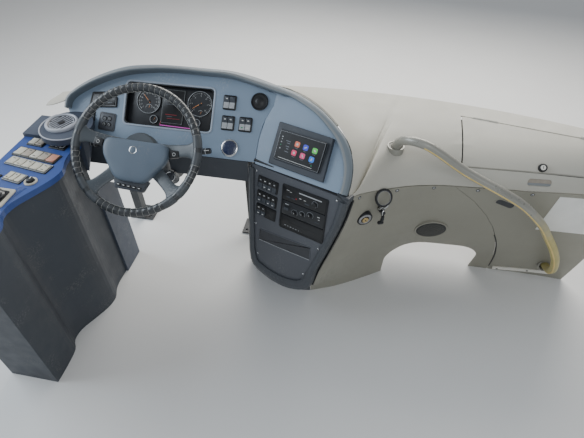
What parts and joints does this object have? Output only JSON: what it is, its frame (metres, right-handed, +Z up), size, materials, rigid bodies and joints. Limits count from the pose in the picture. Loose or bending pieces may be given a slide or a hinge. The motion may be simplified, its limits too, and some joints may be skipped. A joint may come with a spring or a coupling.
{
  "type": "bus driver's dashboard with steering wheel",
  "caption": "Full-width bus driver's dashboard with hooded dials, turned centre pod, side switch console, lidded right cowl, entrance rail, steel frame and a turning steering wheel.",
  "frame": {"origin": "middle of the bounding box on the floor under the dashboard", "axes": "+X to the bus's right, +Y forward to the windscreen, +Z up; the driver sits at -Y, left of the middle"},
  "size_m": [2.198, 1.08, 0.9222],
  "materials": {
    "aluminium": "brushed",
    "black_plastic": "satin",
    "chrome": "polished",
    "cowl_light": "satin grain",
    "cream": "satin",
    "dark_trim": "grain",
    "glossy": "polished",
    "leather": "worn",
    "navy": "satin",
    "panel_warm": "fine grain",
    "rail_metal": "satin",
    "shaft": "turned",
    "shell_grey": "fine grain",
    "steel": "satin"
  },
  "bodies": {
    "dashboard": {"frame": "steel", "column": "steel", "shroud": "dark_trim", "stalks": "black_plastic", "cowl": "cowl_light", "hood": "dark_trim", "driver_panel": "shell_grey", "cluster": "black_plastic", "dials": "chrome", "rockers": "black_plastic", "keypad": "black_plastic", "driver_fascia": "dark_trim", "pod_rim": "dark_trim", "pod_upper": "shell_grey", "pod_lower": "dark_trim", "radio": "glossy", "pod_switches": "black_plastic", "din_stack": "black_plastic", "badge_plate": "dark_trim", "pod_plinth": "dark_trim", "knee_panel": "panel_warm", "side_panel": "panel_warm", "kick_strip": "aluminium", "knee_vent": "black_plastic", "ring_holder": "chrome", "rail": "rail_metal", "rail_feet": "black_plastic", "console_body": "shell_grey", "console_top": "navy", "console_switches": "cream", "console_lever": "black_plastic", "console_grille": "black_plastic", "corner_pod": "shell_grey", "air_nozzle": "black_plastic", "heater": "dark_trim", "plug": "black_plastic", "round_badge": "chrome", "pod_cheek": "dark_trim", "console_frames": "black_plastic"},
    "wheel": {"wheel_rim": "leather", "wheel_hub": "dark_trim", "hub_pad": "dark_trim", "steer_shaft": "shaft"},
    "lid": {"lid": "cowl_light", "lid_lock": "black_plastic"}
  },
  "joints": [
    {"name": "steering", "type": "hinge", "parent": "dashboard", "child": "wheel", "pos_m": [-0.631, -0.022, 0.756], "axis": [0.0436, -0.6742, 0.7373], "range_deg": [-810, 810]},
    {"name": "lid_hinge", "type": "hinge", "parent": "dashboard", "child": "lid", "pos_m": [0.472, 0.428, 0.741], "axis": [-0.9863, 0.165, 0], "range_deg": [0, 65]}
  ]
}
